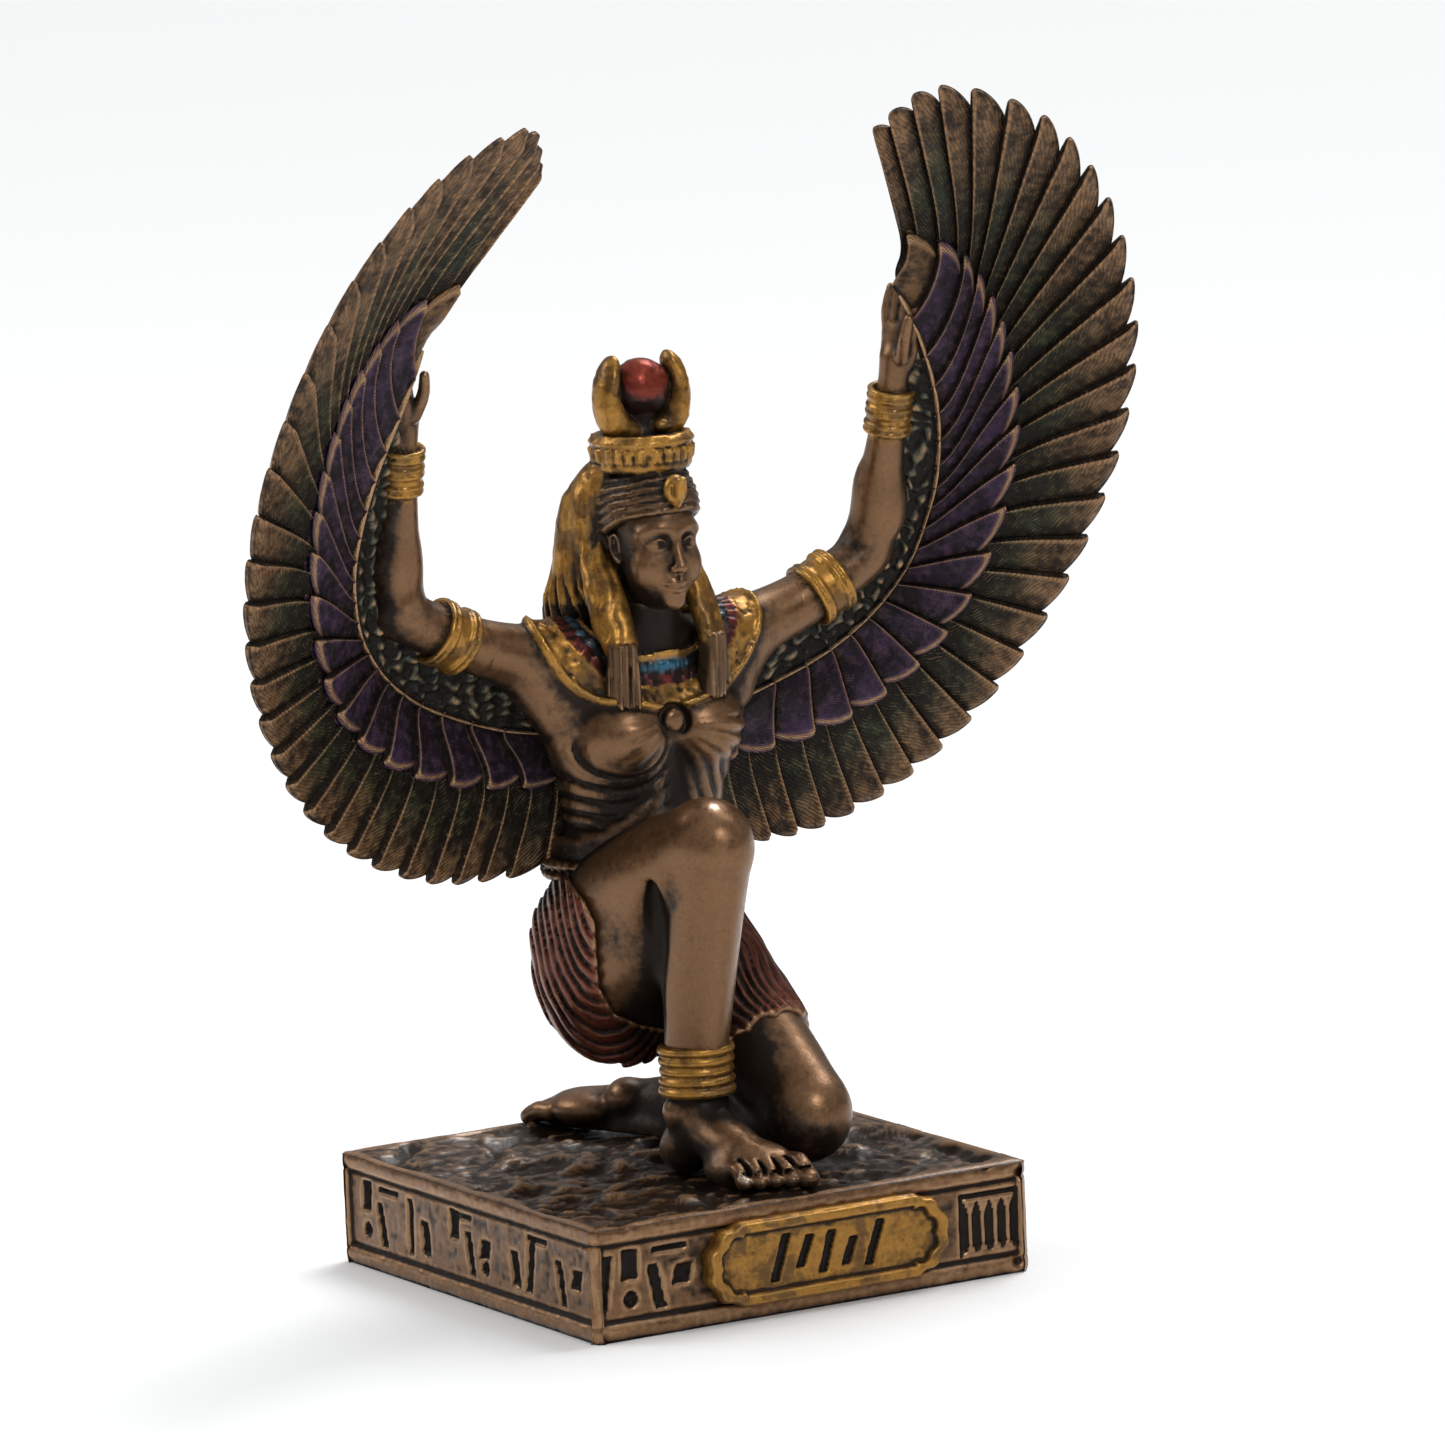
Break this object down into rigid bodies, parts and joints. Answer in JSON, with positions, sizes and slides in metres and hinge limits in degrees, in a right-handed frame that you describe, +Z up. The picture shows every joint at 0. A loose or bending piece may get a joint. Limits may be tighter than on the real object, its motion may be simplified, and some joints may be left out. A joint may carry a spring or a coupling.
{
  "type": "isis statue",
  "caption": "Small painted bronze-look statuette of a kneeling winged goddess, arms and feathered wings raised, cast with a square carved plinth; ornament.",
  "frame": {"origin": "middle of the plinth's flat underside", "axes": "+Z up, the figure faces -Y, +X to the viewer's right from the front"},
  "size_m": [0.0764, 0.0391, 0.09],
  "materials": {
    "bronze_resin": "satin bronze-look paint over resin, dark wash in the hollows, gold, purple, green, red and blue accents"
  },
  "bodies": {
    "root": {"isis_statue": "bronze_resin"}
  },
  "joints": []
}
